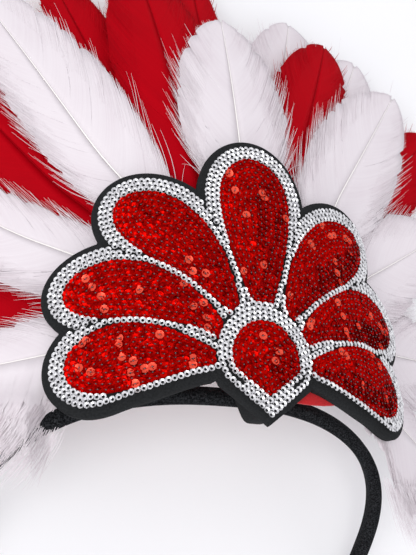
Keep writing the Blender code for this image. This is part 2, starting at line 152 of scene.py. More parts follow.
def joined_outline(outlines, count):
    """Outer edge of several outlines: the farthest crossing of each ray from HUB."""
    turn = np.linspace(-0.5 * math.pi, 1.5 * math.pi, count, endpoint=False)
    ray = np.stack([np.cos(turn), np.sin(turn)], axis=1)
    reach = np.zeros(count)
    for outline in outlines:
        start = outline - HUB
        end = np.roll(start, -1, axis=0)
        before = ray[:, 1:] * start[:, 0] - ray[:, :1] * start[:, 1]
        after = ray[:, 1:] * end[:, 0] - ray[:, :1] * end[:, 1]
        change = np.where(before == after, 1.0, before - after)
        crossing = start + (end - start) * (before / change)[..., None]
        length = np.where(before * after <= 0.0, np.einsum("rnk,rk->rn", crossing, ray), 0.0)
        reach = np.maximum(reach, length.max(axis=1))
    return HUB + ray * reach[:, None]


def palmette_outline(amount, low_amount, ring_amount, tip_v, count):
    """Outer edge of the seven petals and the drop, grown all round."""
    parts = [petal_outline(PETALS["center"], amount), drop_outline(ring_amount, tip_v)]
    for name in ("upper", "middle", "lower"):
        right = petal_outline(PETALS[name], amount, low_amount if name == "lower" else None)
        parts += [right, mirrored(right)]
    return joined_outline(parts, count)


def grid_faces(count, rows, sides, ring=False):
    """Quads of count grids of rows by sides, each closed round its sides.

    With ring set the rows close too. Otherwise one face closes each end.
    """
    first = (np.arange(count) * rows * sides)[:, None, None]
    row = np.arange(rows if ring else rows - 1)[None, :, None]
    side = np.arange(sides)[None, None, :]
    ahead, beside = (row + 1) % rows, (side + 1) % sides
    corners = [first + row * sides + side, first + row * sides + beside,
               first + ahead * sides + beside, first + ahead * sides + side]
    faces = [np.stack(corners, axis=-1).reshape(-1, 4)]
    if not ring:
        start = (np.arange(count) * rows * sides)[:, None]
        faces += [start + np.arange(sides)[::-1], start + (rows - 1) * sides + np.arange(sides)]
    return faces


def add_piece(name, points, faces, material, flat=False, **values):
    """Mesh object from points (n, 3) and face arrays (m, corners), faces outwards.

    flat may be one flag for each face array. Each further value is a float array kept as
    an attribute, of a point or of a face.
    """
    fans = [part[:, [0, turn, turn + 1]] for part in faces for turn in range(1, part.shape[1] - 1)]
    corner = points[np.concatenate(fans)]
    if np.einsum("nk,nk->", corner[:, 0], np.cross(corner[:, 1], corner[:, 2])) < 0.0:
        faces = [part[:, ::-1] for part in faces]
    sizes = np.concatenate([np.full(len(part), part.shape[1]) for part in faces])
    mesh = bpy.data.meshes.new(name)
    mesh.vertices.add(len(points))
    mesh.vertices.foreach_set("co", points.astype(np.float32).ravel())
    mesh.loops.add(int(sizes.sum()))
    corners = np.concatenate([part.ravel() for part in faces])
    mesh.loops.foreach_set("vertex_index", corners.astype(np.int32))
    mesh.polygons.add(len(sizes))
    mesh.polygons.foreach_set("loop_start", (np.cumsum(sizes) - sizes).astype(np.int32))
    flags = np.broadcast_to(flat, len(faces))
    mesh.polygons.foreach_set("use_smooth", np.concatenate(
        [np.full(len(part), not flag) for part, flag in zip(faces, flags)]))
    mesh.update(calc_edges=True)
    for key, value in values.items():
        domain = "POINT" if len(value) == len(points) else "FACE"
        mesh.attributes.new(key, "FLOAT", domain).data.foreach_set("value", value.astype(np.float32))
    mesh.materials.append(material)
    piece = bpy.data.objects.new(name, mesh)
    bpy.context.scene.collection.objects.link(piece)
    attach(piece, "root")
    return piece


def plate(outlines, depths, rows, middle=HUB):
    """Closed plate as rings of one point count: a pole in front, rings, a pole behind.

    The first and the last outline are the front and back face, which are filled with
    rows of shrunken copies towards their middle.
    """
    shares = np.linspace(0.0, 1.0, rows + 1)[1:, None, None]
    front = middle + (outlines[0] - middle) * shares
    back = (middle + (outlines[-1] - middle) * shares)[::-1]
    rings = np.concatenate([front, np.array(outlines[1:-1]), back])
    levels = np.concatenate([np.full(rows, depths[0]), depths[1:-1], np.full(rows, depths[-1])])
    sides = rings.shape[1]
    grid = bend(rings[..., 0], rings[..., 1], levels[:, None]).reshape(-1, 3)
    poles = bend(np.array([middle[0]] * 2), middle[1], np.array([depths[0], depths[-1]]))
    points = np.concatenate([grid, poles])
    faces = grid_faces(1, len(rings), sides)[:1]
    turn = np.arange(sides)
    ahead = np.roll(turn, -1)
    last = (len(rings) - 1) * sides
    faces.append(np.stack([np.full(sides, len(grid)), ahead, turn], axis=1))
    faces.append(np.stack([np.full(sides, len(grid) + 1), last + turn, last + ahead], axis=1))
    return points, faces


def linear(code):
    """Linear colour of an sRGB hex code, by the sRGB curve of each channel."""
    parts = [int(code[start:start + 2], 16) / 255 for start in (0, 2, 4)]
    return (*(p / 12.92 if p <= 0.04045 else ((p + 0.055) / 1.055) ** 2.4 for p in parts), 1.0)


def add_node(tree, kind, values=None, links=None, **settings):
    """Add one shader node with its settings, socket values and incoming links."""
    new = tree.nodes.new("ShaderNode" + kind)
    for key, value in settings.items():
        setattr(new, key, value)
    for key, value in (values or {}).items():
        new.inputs[key].default_value = value
    for key, socket in (links or {}).items():
        tree.links.new(socket, new.inputs[key])
    return new


def new_finish(name, **values):
    """Material with a Principled shader; values name its sockets with _ for a space."""
    material = bpy.data.materials.new(name)
    material.use_nodes = True
    shader = material.node_tree.nodes["Principled BSDF"]
    for key, value in values.items():
        shader.inputs[key.replace("_", " ")].default_value = value
    return material, material.node_tree, shader


def noise(tree, scale, **values):
    """Noise of one scale in the object's own frame."""
    spot = add_node(tree, "TexCoord")
    return add_node(tree, "TexNoise", {"Scale": scale, **values},
                    {"Vector": spot.outputs["Object"]}).outputs[0]


def mixed(tree, share, low, high):
    """Colour from low to high by a share; both are hex codes or colour sockets."""
    mix = add_node(tree, "Mix", {}, {0: share}, data_type="RGBA")
    for socket, color in ((mix.inputs[6], low), (mix.inputs[7], high)):
        if isinstance(color, str):
            socket.default_value = linear(color)
        else:
            tree.links.new(color, socket)
    return mix.outputs[2]


def colored(tree, shader, color, height=None, strength=0.0, distance=0.0):
    """Give the shader its colour and, from a height, a bumpy surface."""
    tree.links.new(color, shader.inputs["Base Color"])
    if height:
        bump = add_node(tree, "Bump", {"Strength": strength, "Distance": distance}, {"Height": height})
        tree.links.new(bump.outputs[0], shader.inputs["Normal"])


# Charcoal EVA craft foam, skived and matt: a fine grain of closed cells that breaks the
# light into grey speckle. The cells are drawn at 0.7 mm, coarser than real, to show.
foam_finish, tree, shader = new_finish("charcoal_craft_foam", Roughness=0.95,
                                       Specular_IOR_Level=0.12)
grain = noise(tree, 1400.0, Detail=2.0, Roughness=0.6)
colored(tree, shader, mixed(tree, grain, "0D0E0F", "2F3031"), grain, strength=0.5, distance=0.0002)


def foam_edge(inset):
    """The foam's outline, drawn in by inset for the rounding of its edge."""
    return palmette_outline(BORDER_WIDE + FOAM_MARGIN - inset, BORDER_LOW + FOAM_MARGIN - inset,
                            RING_WIDE + FOAM_MARGIN - inset, SILVER_TIP_V - TIP_MARGIN + inset, 600)


edges = [foam_edge(part * FOAM_ROUND) for part in (1.0, 0.3, 0.0, 0.0, 0.3, 1.0)]
depths = np.array([0.0, -0.3 * FOAM_ROUND, -FOAM_ROUND, FOAM_ROUND - FOAM_THICK,
                   0.3 * FOAM_ROUND - FOAM_THICK, -FOAM_THICK])
points, faces = plate(edges, depths, rows=12)
points = tilted(points)
foam_box = np.array(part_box("crest_base"))
SHIFT = foam_box.mean(axis=0) - 0.5 * (points.min(axis=0) + points.max(axis=0))


def laid(points):
    """Points of the crest's frame tipped onto the back and moved to the lying place."""
    return tilted(points) + SHIFT


crest = add_piece("crest_foam", points + SHIFT, faces, foam_finish)
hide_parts("crest_base")

# Petals: seven fields of red cloth covered with overlapping cup sequins in rows that
# follow the petal's edge. Each sequin is sewn on through its hole with a grey thread that
# shows as a dot and a short dark dash on both sides.
RED_RADIUS = 0.00176
RED_ALONG = 0.00272
RED_ACROSS = 0.00238
RED_NEAREST = 0.00208
RED_HEIGHT = 0.00072
RED_STRAY = 0.00016
RED_HOLE = 0.00034
RED_CUP = 0.00024
RED_LEAN = 0.14                # slope that each sequin gets from resting on the one before
RED_WOBBLE = 0.11
RED_INSET = 0.0013             # first row of holes inside the petal's edge
RED_LAST = 0.0012              # no further full row nearer than this to the petal's axis
RED_CORE = 0.0003              # half width of the single row along the axis
RED_SPARE_INSET = 0.0011
RED_SPARE = 900                # places tried at random where the rows leave room
RED_SPARE_NEAREST = 0.80 * RED_NEAREST
GLEAM_SHARE = 0.055            # share of the sequins with a painted salmon highlight
GLEAM_RAISE = 0.0004
STITCH_REACH = 0.0010
STITCH_THICK = 0.00011
STITCH_LIFT = 0.00024
KNOT_REACH = 0.00020
KNOT_THICK = 0.00036
KNOT_LIFT = 0.00022
CLOTH_THICK = 0.0005
CLOTH_ROUND = 0.0003
SEQUIN_SIDES = 8
CUP_ROWS = 5
chance = np.random.default_rng(5)


def attribute(tree, name):
    """A mesh attribute as a value."""
    return add_node(tree, "Attribute", attribute_name=name).outputs["Fac"]


def product(tree, first, second):
    """Product of two values."""
    return add_node(tree, "Math", {}, {0: first, 1: second}, operation="MULTIPLY").outputs[0]


def spaced(outline, pitch, start=0.5):
    """An even count of points about pitch apart round a closed outline: u, v, heading."""
    loop = np.vstack([outline, outline[:1]])
    run = np.concatenate([[0.0], np.cumsum(np.linalg.norm(np.diff(loop, axis=0), axis=1))])
    count = 2 * max(int(round(run[-1] / pitch / 2.0)), 2)
    place = (np.arange(count) + start) * run[-1] / count
    ends = [[np.interp((place + part) % run[-1], run, loop[:, axis]) for axis in (0, 1)]
            for part in (0.0, -0.0004, 0.0004)]
    (u, v), low, high = ends
    heading = np.arctan2(high[1] - low[1], high[0] - low[0])
    return np.stack([u, v, heading], axis=1)


def kept_apart(rows, nearest, before=None):
    """Rows of (u, v, ...) in order, each kept if no kept one is nearer than nearest."""
    kept = [] if before is None else list(before)
    first = len(kept)
    for row in rows:
        if not kept or np.min(np.hypot(*(np.array(kept)[:, :2] - row[:2]).T)) >= nearest:
            kept.append(row)
    return np.array(kept[first:])


def cup_sequin(radius, hole, depth):
    """Cup sequin: a closed profile of flat floor and raised rim, turned about its axis."""
    profile = np.array([(hole, 0.10 * depth), (0.52 * radius, 0.16 * depth), (radius, depth),
                        (0.97 * radius, 0.80 * depth), (hole, -0.08 * depth)])
    turn = np.linspace(0.0, 2.0 * math.pi, SEQUIN_SIDES, endpoint=False)
    return np.stack([profile[:, :1] * np.cos(turn), profile[:, :1] * np.sin(turn),
                     np.repeat(profile[:, 1:], SEQUIN_SIDES, axis=1)], axis=-1)


def frames_on_crest(places, height, lean, wobble):
    """Middle and axes of shapes on the crest: row direction, its left, outward.

    The outward axis leans back along the row by lean and wobbles at random.
    """
    u, v, heading = places[:, 0], places[:, 1], places[:, 2]
    angle = np.clip(u, -BEND_END, BEND_END) / BEND_RADIUS
    none = np.zeros_like(angle)
    across = np.stack([np.cos(angle), none, -np.sin(angle)], axis=1)
    out = np.stack([np.sin(angle), none, np.cos(angle)], axis=1)
    row = across * np.cos(heading)[:, None] + np.array([0.0, 1.0, 0.0]) * np.sin(heading)[:, None]
    left = np.cross(out, row)
    tip = chance.normal(0.0, wobble, (len(u), 2)) + np.array([-lean, 0.0])
    out = out + row * tip[:, :1] + left * tip[:, 1:]
    out /= np.linalg.norm(out, axis=1)[:, None]
    row = row - out * np.sum(row * out, axis=1)[:, None]
    row /= np.linalg.norm(row, axis=1)[:, None]
    return bend(u, v, height), np.stack([row, np.cross(out, row), out], axis=1)


def stamped(shape, middle, axes):
    """Copies of a grid shape (rows, sides, 3) at each middle, turned to its axes."""
    return (middle[:, None, None] + np.einsum("rsk,nkx->nrsx", shape, axes)).reshape(-1, 3)


def threads(middle, axes, reach, thick, lift):
    """Short threads over each sequin: a flat arch of four-sided rings along its row."""
    run = np.linspace(-1.0, 1.0, 5)
    arch = lift * (1.0 - 0.7 * run ** 2)
    side = np.array([(-1.0, -1.0), (1.0, -1.0), (1.0, 1.0), (-1.0, 1.0)]) * thick / 2
    grid = np.stack(np.broadcast_arrays((run * reach)[:, None], side[None, :, 0],
                                        arch[:, None] + side[None, :, 1]), axis=-1)
    return stamped(grid, middle, axes), grid_faces(len(middle), 5, 4)


def joined(parts):
    """Several (points, faces) lists as one."""
    points, faces, first = [], [], 0
    for some, their in parts:
        points.append(some)
        faces += [part + first for part in their]
        first += len(some)
    return np.concatenate(points), faces


# Red PVC sequins, vacuum coated and dyed. Their facets get a painted glitter: a painted light or shade
# at random for each facet and grain, from deep red to bright red, and a painted salmon highlight on the
# brighter facets of a few sequins. The grain is drawn at 0.9 mm.
red_finish, tree, shader = new_finish("red_dyed_sequins", Metallic=0.80, Roughness=0.34,
                                      Specular_IOR_Level=0.08, Specular_Tint=linear("FF4A40"))
spot = add_node(tree, "TexCoord")
glitter = add_node(tree, "TexVoronoi", {"Scale": 1150.0, "Randomness": 1.0},
                   {"Vector": spot.outputs["Object"]})
fleck = add_node(tree, "SeparateColor", links={"Color": glitter.outputs["Color"]})
facet = attribute(tree, "facet")
# Painted glitter: deep red to bright red at random for each facet and grain.
shade = mixed(tree, product(tree, fleck.outputs[0], facet), "780000", "F8120A")
# Painted highlight: on the marked sequins the brighter facets turn salmon.
bright = add_node(tree, "Math", {1: 0.30}, {0: facet}, operation="GREATER_THAN")
catch = product(tree, attribute(tree, "tone"), bright.outputs[0])
colored(tree, shader, mixed(tree, catch, shade, "FF604A"), fleck.outputs[1], strength=0.35,
        distance=0.0001)

# Deep red polyester cloth under the sequins: a plain weave that only shows in the gaps.
# Threads lie 0.5 mm apart.
cloth_finish, tree, shader = new_finish("red_polyester_cloth", Roughness=0.9,
                                         Specular_IOR_Level=0.05)
colored(tree, shader, mixed(tree, noise(tree, 2000.0), "6A0002", "A80406"))

# Grey nylon sewing thread, slightly glossy: blue grey dots in the holes, and dashes that
# take up the red round them.
thread_finish, tree, shader = new_finish("grey_nylon_thread", Roughness=0.45, IOR=1.53)
shade = mixed(tree, noise(tree, 900.0), "2A2D30", "80878C")
colored(tree, shader, mixed(tree, attribute(tree, "knot"), "4A0C0E", shade))


def inner_petal(petal, inset):
    """The petal drawn in by inset on all sides, down to a narrow core."""
    base, tip, base_half, half, bow, widest = petal
    axis = np.array(tip) - np.array(base)
    axis /= np.linalg.norm(axis)
    return (tuple(np.array(base) + axis * inset), tuple(np.array(tip) - axis * inset),
            max(base_half - inset, 0.0002), half - inset, bow, widest)


def within(outline, points):
    """Which points lie inside a closed outline: those left of an odd count of its edges."""
    ahead = np.roll(outline, -1, axis=0)
    step = ahead - outline
    to_point = points[:, None] - outline[None]
    crosses = (outline[None, :, 1] > points[:, None, 1]) != (ahead[None, :, 1] > points[:, None, 1])
    rise = np.where(step[:, 1] == 0.0, 1e-12, step[:, 1])
    left = to_point[..., 0] < step[:, 0] * to_point[..., 1] / rise
    return np.sum(crosses & left, axis=1) % 2 == 1


def distance_to(outline, points):
    """Distance of each point from the segments of a closed outline."""
    start = outline[None]
    step = np.roll(outline, -1, axis=0)[None] - start
    share = np.sum((points[:, None] - start) * step, axis=2) / np.sum(step ** 2, axis=2)
    near = start + step * np.clip(share, 0.0, 1.0)[..., None]
    return np.linalg.norm(points[:, None] - near, axis=2).min(axis=1)


def sequin_field(name, node, outline, rings):
    """Cloth plate, sequins in rows along the rings, and the threads that hold them."""
    rows = [spaced(ring, RED_ALONG, chance.random()) for ring in rings]
    places = kept_apart(np.concatenate(rows), RED_NEAREST)
    spare = chance.uniform(outline.min(axis=0), outline.max(axis=0), (RED_SPARE, 2))
    spare = spare[within(outline, spare) & (distance_to(outline, spare) > RED_SPARE_INSET)]
    spare = np.column_stack([spare, chance.uniform(0.0, 2.0 * math.pi, len(spare))])
    places = np.concatenate([places, kept_apart(spare, RED_SPARE_NEAREST, places)])
    places[:, :2] += chance.normal(0.0, RED_STRAY, (len(places), 2))
    # A few sequins are marked for a painted salmon highlight; they also stand a little higher.
    gleam = (chance.random(len(places)) > 1.0 - GLEAM_SHARE) * chance.uniform(0.7, 1.0, len(places))
    height = GAP + RED_HEIGHT + GLEAM_RAISE * (gleam > 0.0)
    middle, axes = frames_on_crest(places, height, RED_LEAN, RED_WOBBLE)
    cup_points = stamped(cup_sequin(RED_RADIUS, RED_HOLE, RED_CUP), middle, axes)
    cup_faces = grid_faces(len(places), CUP_ROWS, SEQUIN_SIDES, ring=True)
    # tone marks the sequins with the painted salmon highlight; facet gives each facet a painted light
    # or shade at random.
    piece = add_piece(name, laid(cup_points), cup_faces, red_finish, flat=True,
                      tone=np.repeat(gleam, CUP_ROWS * SEQUIN_SIDES),
                      facet=chance.random(len(cup_faces[0])))
    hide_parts(node)
    drawn_in = grown(outline, -CLOTH_ROUND)
    depths = np.array([GAP + CLOTH_THICK, GAP + 0.7 * CLOTH_THICK, GAP + 0.2 * CLOTH_THICK, GAP])
    cloth, cloth_faces = plate([drawn_in, outline, outline, drawn_in], depths, rows=6,
                               middle=outline.mean(axis=0))
    piece = add_piece(name + "_cloth", laid(cloth), cloth_faces, cloth_finish)
    stitch = threads(middle, axes, STITCH_REACH, STITCH_THICK, STITCH_LIFT)
    knot = threads(middle, axes, KNOT_REACH, KNOT_THICK, KNOT_LIFT)
    both, their = joined([stitch, knot])
    piece = add_piece(name + "_stitches", laid(both), their, thread_finish,
                      knot=np.repeat([0.0, 1.0], len(stitch[0])))


order = ["lower", "middle", "upper", "center", "upper", "middle", "lower"]
petal_edges = []
for index, kind in enumerate(order):
    widest_half = PETALS[kind][3]
    insets = np.arange(RED_INSET, widest_half - RED_LAST, RED_ACROSS)
    insets = np.append(insets, widest_half - RED_CORE)
    rings = [petal_outline(inner_petal(PETALS[kind], inset)) for inset in insets]
    outline = petal_outline(PETALS[kind])
    if index < 3:
        rings = [mirrored(ring) for ring in rings]
        outline = mirrored(outline)
    petal_edges.append(outline)
    sequin_field(f"petal_sequins_{index + 1}", f"petal_field_{index + 1}", outline, rings)

# Drop: the same red sequins in a drop-shaped field in the middle of the palmette, in
# rows that follow its rounded crown and its two straight legs.
drop_edge = drop_outline()
drop_middle = np.array([0.0, 0.0245])
shares = np.arange(1.0 - RED_INSET / DROP_HALF, 0.05, -RED_ACROSS / DROP_HALF)
drop_rings = [drop_middle + (drop_edge - drop_middle) * share for share in shares]
sequin_field("drop_sequins", "drop_field", drop_edge, drop_rings)

# Silver border: small cup sequins sewn down nearly flat, in three staggered rows round the
# palmette and the drop and in one or two rows between the petals. The foam shows in
# their holes and between them.
SILVER_RADIUS = 0.00131
SILVER_HOLE = 0.00060
SILVER_CUP = 0.00056
SILVER_PITCH = 0.00238
SILVER_NEAREST = 0.00186
SILVER_FILL = 0.00182          # nearest a sequin in the room that is left comes to another
SILVER_SPARE = 9000
SILVER_SPARE_OFF = 0.0013      # distance of such a sequin from the red fields
SILVER_INNER = 0.00120         # distance of the first row from the red fields
SILVER_MIDDLE = 0.00308
SILVER_OUTER = 0.00498
SILVER_LOW = 0.0014            # most that a row stands off below the lower petals
SILVER_CLOSE = 0.0028          # a gap between petals this narrow takes one row
SILVER_HEIGHT = 0.00042
SILVER_OVER = 0.0009           # a sequin that reaches over a red field stands this much higher
SILVER_INSIDE = 0.0006         # how far inside a red field its middle may lie
SILVER_SPREAD = 0.0003
SILVER_LEAN = 0.04
SILVER_WOBBLE = 0.07


def between_rows(index):
    """One petal's inner row, moved to the middle where the next petal is near.

    Where both gaps leave no room for two rows, the point goes half way between them.
    """
    row = spaced(grown(petal_edges[index], SILVER_INNER), SILVER_PITCH)
    for other in (index - 1, index + 1):
        if not 0 <= other < len(petal_edges):
            continue
        gap = distance_to(petal_edges[other], row[:, :2])
        close = gap < SILVER_CLOSE
        normal = np.stack([np.sin(row[:, 2]), -np.cos(row[:, 2])], axis=1)
        sample = distance_to(petal_edges[index], row[:, :2] + normal * 1e-4)
        normal[sample < SILVER_INNER] *= -1.0
        row[close, :2] += (normal * ((gap - SILVER_INNER) / 2)[:, None])[close]
    return row


def silver_outline(amount):
    """Outer edge of petals and drop, grown by amount, or less below the lower petals."""
    return palmette_outline(amount, min(amount, SILVER_LOW), amount,
                            DROP_TIP_V - TIP_STRETCH * amount, 900)


ring_rows = [spaced(drop_outline(amount, DROP_TIP_V - TIP_STRETCH * amount), SILVER_PITCH, 0.0)
             for amount in (SILVER_INNER, SILVER_MIDDLE, SILVER_OUTER)]
petal_rows = [between_rows(index) for index in range(len(petal_edges))]
outer_edge = silver_outline(SILVER_OUTER)
rows = [spaced(outer_edge, SILVER_PITCH, 0.0), *ring_rows, *petal_rows,
        spaced(silver_outline(SILVER_MIDDLE), SILVER_PITCH, 0.0)]
places = kept_apart(np.concatenate(rows), SILVER_NEAREST)
spare = chance.uniform(outer_edge.min(axis=0), outer_edge.max(axis=0), (SILVER_SPARE, 2))
spare = spare[within(outer_edge, spare)]
red_edges = [*petal_edges, drop_edge]
for outline in red_edges:
    spare = spare[~within(outline, spare) & (distance_to(outline, spare) > SILVER_SPARE_OFF)]
spare = np.column_stack([spare, chance.uniform(0.0, 2.0 * math.pi, len(spare))])
places = np.concatenate([places, kept_apart(spare, SILVER_FILL, places)])
for outline in red_edges:
    spots = places[:, :2]
    places = places[~within(outline, spots) | (distance_to(outline, spots) <= SILVER_INSIDE)]
near = np.min([distance_to(outline, places[:, :2]) for outline in red_edges], axis=0)
height = GAP + SILVER_HEIGHT + (SILVER_OVER * np.clip((SILVER_INNER - near) / SILVER_INSIDE, 0.0, 1.0)
                                + chance.uniform(0.0, SILVER_SPREAD, len(places)))
middle, axes = frames_on_crest(places, height, SILVER_LEAN, SILVER_WOBBLE)
points = stamped(cup_sequin(SILVER_RADIUS, SILVER_HOLE, SILVER_CUP), middle, axes)
faces = grid_faces(len(places), CUP_ROWS, SEQUIN_SIDES, ring=True)

# Silver white PVC cup sequins, vacuum coated. Each facet gets a painted light or shade at random, from
# nearly white for a facet that faces the light to lilac and cream grey for one that turns away.
silver_finish, tree, shader = new_finish("silver_white_sequins", Metallic=0.60, Roughness=0.22)
# Painted light and shade for each facet, at random.
colored(tree, shader, mixed(tree, attribute(tree, "facet"), "76727A", "FFFFFF"))
silver = add_piece("silver_sequins", laid(points), faces, silver_finish, flat=True,
                   facet=chance.random(len(faces[0])) ** 0.45)
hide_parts("silver_border")

# Felt backing: an oval patch of 1.2 mm red felt, cut with scissors and glued over the
# back of the crest. It shows as a thin red line below the crest's lower edge.
FELT_THICK = 0.0012
FELT_CENTER = np.array([0.0190, 0.0470])
FELT_HALF = np.array([0.0540, 0.0376])
FELT_ROUND = 0.0003

# Red wool blend felt: matted fibres with no weave, dull, with a soft fuzzy sheen. The
# fibres are drawn at 0.8 mm.
felt_finish, tree, shader = new_finish("red_wool_felt", Roughness=0.95, Sheen_Weight=0.15,
                                       Sheen_Roughness=0.5)
fibre = noise(tree, 1200.0, Detail=4.0)
colored(tree, shader, mixed(tree, fibre, "90000A", "C80C14"), fibre, strength=0.6, distance=0.0003)

turn = np.linspace(0.0, 2.0 * math.pi, 96, endpoint=False)
oval = np.stack([np.cos(turn), np.sin(turn)], axis=1)
felt_edges = [FELT_CENTER + oval * (FELT_HALF - part)
              for part in (FELT_ROUND, 0.0, 0.0, FELT_ROUND)]
front = -FOAM_THICK - GAP
felt_depths = front - np.array([0.0, 0.25, 0.75, 1.0]) * FELT_THICK
points, faces = plate(felt_edges, felt_depths, rows=8, middle=FELT_CENTER)
felt = add_piece("felt_patch", laid(points), faces, felt_finish)
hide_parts("felt_backing")

# Tip spacer: a small block of the same charcoal foam, cut by hand and glued behind the
# crest's tip so that it stands off the band.
SPACER_HALF = 0.0115
SPACER_LOW_V = 0.0026
SPACER_HIGH_V = 0.0190
SPACER_TAPER = 0.45
SPACER_THICK = 0.0090
low_half = SPACER_HALF * SPACER_TAPER
corners = np.array([(-low_half, SPACER_LOW_V), (low_half, SPACER_LOW_V),
                    (SPACER_HALF, SPACER_HIGH_V), (-SPACER_HALF, SPACER_HIGH_V)])
spacer_middle = corners.mean(axis=0)
share = np.linspace(0.0, 1.0, 9)[:-1, None]
sides = np.concatenate([a + (b - a) * share for a, b in zip(corners, np.roll(corners, -1, axis=0))])
for _ in range(3):
    sides = (np.roll(sides, 1, axis=0) + 2.0 * sides + np.roll(sides, -1, axis=0)) / 4.0
spacer_front = -FOAM_THICK - FELT_THICK - 2.0 * GAP
spacer_edges = [spacer_middle + (sides - spacer_middle) * part for part in (0.95, 1.0, 1.0, 0.95)]
spacer_depths = spacer_front - np.array([0.0, 0.05, 0.95, 1.0]) * SPACER_THICK
points, faces = plate(spacer_edges, spacer_depths, rows=4, middle=spacer_middle)
spacer = add_piece("foam_spacer", laid(points), faces, foam_finish)
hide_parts("tip_spacer")

# Headband: a plastic strip bent to a horseshoe and wrapped in black velvet ribbon, which
# rounds its edges. It runs behind the crest's lower edge and its arms reach back.
BAND_HALF_WIDTH = 0.0906
BAND_FRONT_DEPTH = 0.0735
BAND_POWER = 2.37
BAND_REACH = 0.175
BAND_CLOSING = 0.10
BAND_QUARTER = 0.62
BAND_FALL = math.radians(40.0)
BAND_TURN = math.radians(0.8)
BAND_START = np.array([-0.0110, 0.0147, -0.0204])
BAND_TALL = 0.0076
BAND_THICK = 0.0060
BAND_SIDES = 24


def band_point(share):
    """Flat path of the band: a superellipse quarter, then an arm that closes in."""
    turn = np.clip(np.abs(share) / BAND_QUARTER, 0.0, 1.0) * math.pi / 2
    run = np.clip((np.abs(share) - BAND_QUARTER) / (1.0 - BAND_QUARTER), 0.0, 1.0)
    across = BAND_HALF_WIDTH * np.sin(turn) ** (2.0 / BAND_POWER) * (1.0 - BAND_CLOSING * run ** 2)
    depth = BAND_FRONT_DEPTH * (1.0 - np.cos(turn) ** (2.0 / BAND_POWER))
    return np.stack([np.sign(share) * across, -depth - (BAND_REACH - BAND_FRONT_DEPTH) * run], axis=-1)


def band_rings(share):
    """Rounded sections along the band, in the strip's plane that falls away backwards."""
    yaw = np.array([[math.cos(BAND_TURN), -math.sin(BAND_TURN)],
                    [math.sin(BAND_TURN), math.cos(BAND_TURN)]])
    ahead = band_point(np.clip(share + 1e-4, -1.0, 1.0)) - band_point(np.clip(share - 1e-4, -1.0, 1.0))
    spread = []
    for pair in (band_point(share) @ yaw.T, ahead @ yaw.T):
        spread.append(np.stack([pair[:, 0], pair[:, 1] * math.sin(BAND_FALL),
                                pair[:, 1] * math.cos(BAND_FALL)], axis=1))
    point, along = spread
    along /= np.linalg.norm(along, axis=1)[:, None]
    tall = np.broadcast_to(np.array([0.0, math.cos(BAND_FALL), -math.sin(BAND_FALL)]), along.shape)
    thick = np.cross(along, tall)
    turn = (np.arange(BAND_SIDES) + 0.5) * 2.0 * math.pi / BAND_SIDES
    up = np.sign(np.cos(turn)) * np.abs(np.cos(turn)) ** (2.0 / 3.0) * BAND_TALL / 2
    out = np.sign(np.sin(turn)) * np.abs(np.sin(turn)) ** (2.0 / 3.0) * BAND_THICK / 2
    middle = (point + BAND_START)[:, None]
    return laid(middle + tall[:, None] * up[:, None] + thick[:, None] * out[:, None])


# Black nylon velvet ribbon: dense 0.5 mm pile that swallows light, with a grey sheen
# where it turns away and fine specks of lint.
velvet_finish, tree, shader = new_finish("black_velvet_ribbon", Roughness=1.0, Sheen_Weight=0.12,
                                         Sheen_Roughness=0.35, Specular_IOR_Level=0.05,
                                         Sheen_Tint=linear("8C9096"))
pile = noise(tree, 1500.0, Detail=3.0, Roughness=0.7)
lint = add_node(tree, "MapRange", {"From Min": 0.42, "From Max": 0.78}, {"Value": pile})
colored(tree, shader, mixed(tree, lint.outputs[0], "070809", "404144"), pile, strength=0.7,
        distance=0.0004)

band_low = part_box("headband")[0][2]
reaches = np.linspace(0.7, 1.0, 3001)
ends = []
for side in (-1.0, 1.0):
    lowest = band_rings(side * reaches)[..., 2].min(axis=1)
    ends.append(side * reaches[max(int(np.argmax(lowest < band_low)) - 1, 0)])
shares = np.linspace(ends[0], ends[1], 181)
rings = band_rings(shares)
band = add_piece("velvet_band", rings.reshape(-1, 3), grid_faces(1, len(shares), BAND_SIDES),
                 velvet_finish)
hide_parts("headband")

# Feathers: ten white and seven red dyed goose feathers, glued with their roots side by
# side behind the felt. Each has a tapered quill and soft barbs that hold together in
# locks, part at the edges and fray into down.
LAYER_STEP = 0.0029
QUILL_RAISE = 0.0004
SHEET_CENTER_V = 0.048
SHEET_EDGE = (0.094, 0.078)
SHEET_LEVEL = 0.012
SHEET_TURN = (50.0, 95.0)
SWEEP_START_V = 0.115
SWEEP_RADIUS = 0.550
ROOT_CENTER = np.array([0.0, 0.048])
ROOT_RADIUS = 0.026
ROOT_SPAN = 118.0
ROOT_RUN = 0.0060
BARB_LEAN = 1.75
WIDEST_AT = 0.60
ROUNDNESS = 0.55
BARB_GAP = 0.00050             # distance between barbs along the quill
BARB_WIDE = 0.00050            # drawn wider than a real barb, so that it shows
BARB_THICK = 0.00008
VANE_REACH = 0.955             # share of a barb that hooks to its neighbours as a closed vane
VANE_THICK = 0.00012
VANE_STEPS = 8
BARB_STEPS = 6
RESTING = 0.0004               # a barb that meets the surface lies on it
FULLER_FROM = 0.55             # share of the length where a fuller side starts to widen
FULLER_RUN = 0.24
BILLOW = 0.0078                # how far a side that is twice as wide stands forward
BILLOW_FROM = 0.60             # share of the length where that starts
BILLOW_RUN = 0.10
BARB_FREE = 0.55               # share of a barb at which it leaves the closed vane
BARB_SIDES = 3
BARB_LIFT = 0.00004
CUPPING = 0.0010               # how far a vane's widest edge lies below its quill
LOCKS = 60                     # locks drawn for a side, more than its length can hold
LOCK_SHARES = (0.022, 0.085)   # least and most of the length that a lock takes
RIPPLES = 40
RIPPLE = 0.0004
EDGE_WAVE = 0.025
NOTCH_DEEP = (0.03, 0.22)      # how deep a parting cuts into the vane, and how wide it is
NOTCH_WIDE = 0.0011
